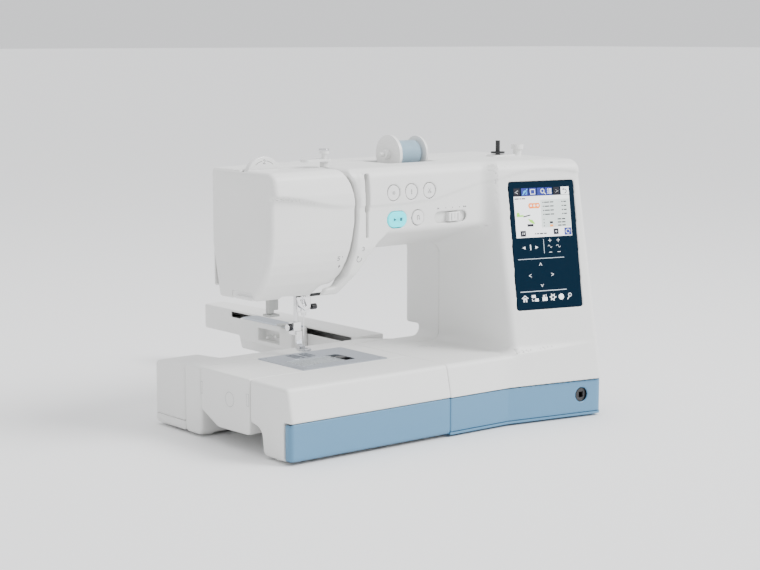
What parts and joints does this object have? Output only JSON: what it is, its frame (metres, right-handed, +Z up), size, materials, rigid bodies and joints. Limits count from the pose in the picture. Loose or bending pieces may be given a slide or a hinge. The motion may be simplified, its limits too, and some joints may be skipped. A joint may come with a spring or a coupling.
{
  "type": "embroidery machine",
  "caption": "Domestic embroidery machine with a touch screen, a swinging head cover and a U-shaped embroidery unit on its free arm.",
  "frame": {"origin": "centre of the whole machine's bounding box, on the surface it stands on", "axes": "+X from the needle head to the column, +Y from the front to the back along the carriage arm, +Z up"},
  "size_m": [0.484, 0.609, 0.3515],
  "materials": {
    "white_shell": "fine satin moulded plastic, warm white",
    "blue_shell": "satin light blue moulded plastic",
    "dark_plastic": "black moulded plastic",
    "grey_plastic": "grey moulded plastic",
    "white_gloss": "gloss white plastic",
    "start_light": "lit cyan plastic",
    "rubber": "matt black rubber",
    "cast_alloy": "sand-cast, unpainted",
    "plate_steel": "brushed, bluish",
    "chrome": "bright plated",
    "steel": "ground",
    "clear_plastic": "clear moulded window",
    "screen_glass": "dark touch glass, gloss",
    "circuit_board": "green solder mask",
    "thread_blue": "wound light blue thread",
    "lamp_lens": "lit lens"
  },
  "bodies": {
    "machine": {"front_case": "white_shell", "rear_case": "white_shell", "base_band": "blue_shell", "base_tray": "blue_shell", "rubber_feet": "rubber", "free_arm_cover": "white_shell", "needle_plate": "plate_steel", "touch_glass": "screen_glass", "display_and_boards": "circuit_board", "main_frame": "cast_alloy", "main_motor": "steel", "drive_belts": "rubber", "bobbin_case": "dark_plastic", "spool_pin": "grey_plastic", "thread_guide": "white_gloss", "winder_base": "white_gloss", "tension_unit": "steel", "led_lamp": "lamp_lens", "power_inlet": "dark_plastic", "case_screws": "steel"},
    "shaft_and_handwheel": {"upper_shaft": "steel", "handwheel": "white_shell"},
    "lower_shaft": {"lower_shaft": "steel"},
    "hook": {"bobbin_hook": "steel"},
    "bobbin": {"bobbin": "clear_plastic"},
    "motor_rotor": {"motor_pulley": "steel"},
    "needle_bar": {"needle_bar": "chrome", "needle": "chrome", "needle_clamp_screw": "dark_plastic"},
    "take_up_lever": {"take_up_lever": "chrome"},
    "presser": {"presser_bar": "chrome", "embroidery_foot": "chrome"},
    "presser_lever": {"presser_lever": "grey_plastic"},
    "knee_lift": {"knee_lift_socket": "dark_plastic"},
    "threader": {"needle_threader": "grey_plastic"},
    "feed": {"feed_dog": "steel"},
    "hook_cover": {"hook_cover": "clear_plastic"},
    "hook_cover_release": {"hook_cover_release": "dark_plastic"},
    "lock_stitch_button": {"lock_stitch_button": "white_gloss"},
    "needle_position_button": {"needle_position_button": "white_gloss"},
    "thread_cutter_button": {"thread_cutter_button": "white_gloss"},
    "reverse_button": {"reverse_button": "white_gloss"},
    "start_stop_button": {"start_stop_button": "start_light"},
    "speed_slider": {"speed_slider": "white_gloss"},
    "pressure_dial": {"pressure_dial": "white_gloss"},
    "face_cover": {"face_cover": "white_shell"},
    "winder": {"winder_slide": "grey_plastic"},
    "winder_spindle": {"winder_spindle": "chrome"},
    "spool": {"thread_spool": "thread_blue"},
    "spool_cap": {"spool_cap": "white_gloss"},
    "power_switch": {"power_switch": "dark_plastic"},
    "embroidery_unit": {"unit_case": "white_shell", "unit_band": "blue_shell", "unit_motor_box": "white_shell", "unit_drive": "steel"},
    "carriage_arm": {"carriage_arm": "white_shell", "carriage_rails": "steel"},
    "hoop_carriage": {"hoop_carriage": "white_shell", "hoop_mount_plate": "plate_steel"},
    "hoop_clamp": {"hoop_clamp_lever": "grey_plastic"}
  },
  "joints": [
    {"name": "handwheel_turn", "type": "hinge", "parent": "machine", "child": "shaft_and_handwheel", "pos_m": [0.221, -0.1195, 0.272], "axis": [1, 0, 0], "continuous": true},
    {"name": "lower_shaft_turn", "type": "hinge", "parent": "machine", "child": "lower_shaft", "pos_m": [0.058, -0.1195, 0.052], "axis": [1, 0, 0], "continuous": true},
    {"name": "hook_turn", "type": "hinge", "parent": "machine", "child": "hook", "pos_m": [-0.112, -0.1425, 0.06], "axis": [0, 0, 1], "continuous": true},
    {"name": "bobbin_turn", "type": "hinge", "parent": "machine", "child": "bobbin", "pos_m": [-0.112, -0.1425, 0.07], "axis": [0, 0, 1], "continuous": true},
    {"name": "motor_turn", "type": "hinge", "parent": "machine", "child": "motor_rotor", "pos_m": [0.158, -0.1195, 0.15], "axis": [1, 0, 0], "continuous": true},
    {"name": "needle_bar_stroke", "type": "slide", "parent": "machine", "child": "needle_bar", "axis": [0, 0, 1], "range_m": [-0.031, 0]},
    {"name": "take_up_swing", "type": "hinge", "parent": "machine", "child": "take_up_lever", "pos_m": [-0.09, -0.1405, 0.262], "axis": [1, 0, 0], "range_deg": [0, 41]},
    {"name": "presser_bar_lift", "type": "slide", "parent": "machine", "child": "presser", "axis": [0, 0, 1], "range_m": [-0.0065, 0.002]},
    {"name": "presser_lever_swing", "type": "hinge", "parent": "machine", "child": "presser_lever", "pos_m": [-0.1, -0.089, 0.1995], "axis": [1, 0, 0], "range_deg": [-41, 13]},
    {"name": "knee_lift_turn", "type": "hinge", "parent": "machine", "child": "knee_lift", "pos_m": [0.1905, -0.2765, 0.0289], "axis": [0, 1, 0], "range_deg": [-24, 8]},
    {"name": "threader_pull", "type": "slide", "parent": "machine", "child": "threader", "axis": [0, 0, 1], "range_m": [-0.03, 0]},
    {"name": "feed_dog_drop", "type": "slide", "parent": "machine", "child": "feed", "axis": [0, 0, 1], "range_m": [-0.0025, 0]},
    {"name": "hook_cover_lift", "type": "slide", "parent": "machine", "child": "hook_cover", "axis": [0, 0, 1], "range_m": [0, 0.02]},
    {"name": "cover_release_slide", "type": "slide", "parent": "machine", "child": "hook_cover_release", "axis": [1, 0, 0], "range_m": [0, 0.003]},
    {"name": "lock_stitch_press", "type": "slide", "parent": "machine", "child": "lock_stitch_button", "axis": [0, 1, 0], "range_m": [0, 0.0015], "stiffness_N_per_m": 300},
    {"name": "needle_position_press", "type": "slide", "parent": "machine", "child": "needle_position_button", "axis": [0, 1, 0], "range_m": [0, 0.0015], "stiffness_N_per_m": 300},
    {"name": "thread_cutter_press", "type": "slide", "parent": "machine", "child": "thread_cutter_button", "axis": [0, 1, 0], "range_m": [0, 0.0015], "stiffness_N_per_m": 300},
    {"name": "reverse_press", "type": "slide", "parent": "machine", "child": "reverse_button", "axis": [0, 1, 0], "range_m": [0, 0.0015], "stiffness_N_per_m": 300},
    {"name": "start_stop_press", "type": "slide", "parent": "machine", "child": "start_stop_button", "axis": [0, 1, 0], "range_m": [0, 0.0015], "stiffness_N_per_m": 300},
    {"name": "speed_slide", "type": "slide", "parent": "machine", "child": "speed_slider", "axis": [1, 0, 0], "range_m": [-0.016, 0.008]},
    {"name": "pressure_dial_turn", "type": "hinge", "parent": "machine", "child": "pressure_dial", "pos_m": [-0.186, -0.1465, 0.309], "axis": [0, 1, 0], "range_deg": [-120, 120]},
    {"name": "face_cover_swing", "type": "hinge", "parent": "machine", "child": "face_cover", "pos_m": [-0.2169, -0.0905, 0.25], "axis": [0, 0, 1], "range_deg": [-65, 0]},
    {"name": "winder_shift", "type": "slide", "parent": "machine", "child": "winder", "axis": [1, 0, 0], "range_m": [0, 0.003]},
    {"name": "winder_spin", "type": "hinge", "parent": "winder", "child": "winder_spindle", "pos_m": [0.174, -0.1555, 0.33], "axis": [0, 0, 1], "continuous": true},
    {"name": "spool_turn", "type": "hinge", "parent": "machine", "child": "spool", "pos_m": [0.028, -0.1435, 0.328], "axis": [1, 0, 0], "continuous": true},
    {"name": "spool_cap_pull", "type": "slide", "parent": "machine", "child": "spool_cap", "axis": [1, 0, 0], "range_m": [-0.012, 0]},
    {"name": "power_rocker", "type": "hinge", "parent": "machine", "child": "power_switch", "pos_m": [0.22, -0.1895, 0.072], "axis": [0, 0, 1], "range_deg": [-6, 6]},
    {"name": "unit_slide", "type": "slide", "parent": "machine", "child": "embroidery_unit", "axis": [1, 0, 0], "range_m": [-0.25, 0]},
    {"name": "carriage_x", "type": "slide", "parent": "embroidery_unit", "child": "carriage_arm", "axis": [1, 0, 0], "range_m": [-0.145, 0.008]},
    {"name": "carriage_y", "type": "slide", "parent": "carriage_arm", "child": "hoop_carriage", "axis": [0, 1, 0], "range_m": [-0.09, 0.055]},
    {"name": "hoop_clamp_turn", "type": "hinge", "parent": "hoop_carriage", "child": "hoop_clamp", "pos_m": [0, 0.0705, 0.089], "axis": [0, 0, 1], "range_deg": [0, 60]}
  ],
  "couplings": [
    {"joint": "lower_shaft_turn", "follows": "handwheel_turn", "ratio": 1},
    {"joint": "motor_turn", "follows": "handwheel_turn", "ratio": 2},
    {"joint": "hook_turn", "follows": "handwheel_turn", "ratio": 2},
    {"joint": "take_up_swing", "follows": "needle_bar_stroke", "rad_per_m": -22.5},
    {"joint": "presser_lever_swing", "follows": "presser_bar_lift", "rad_per_m": 107.4},
    {"joint": "knee_lift_turn", "follows": "presser_bar_lift", "rad_per_m": 61.6}
  ]
}
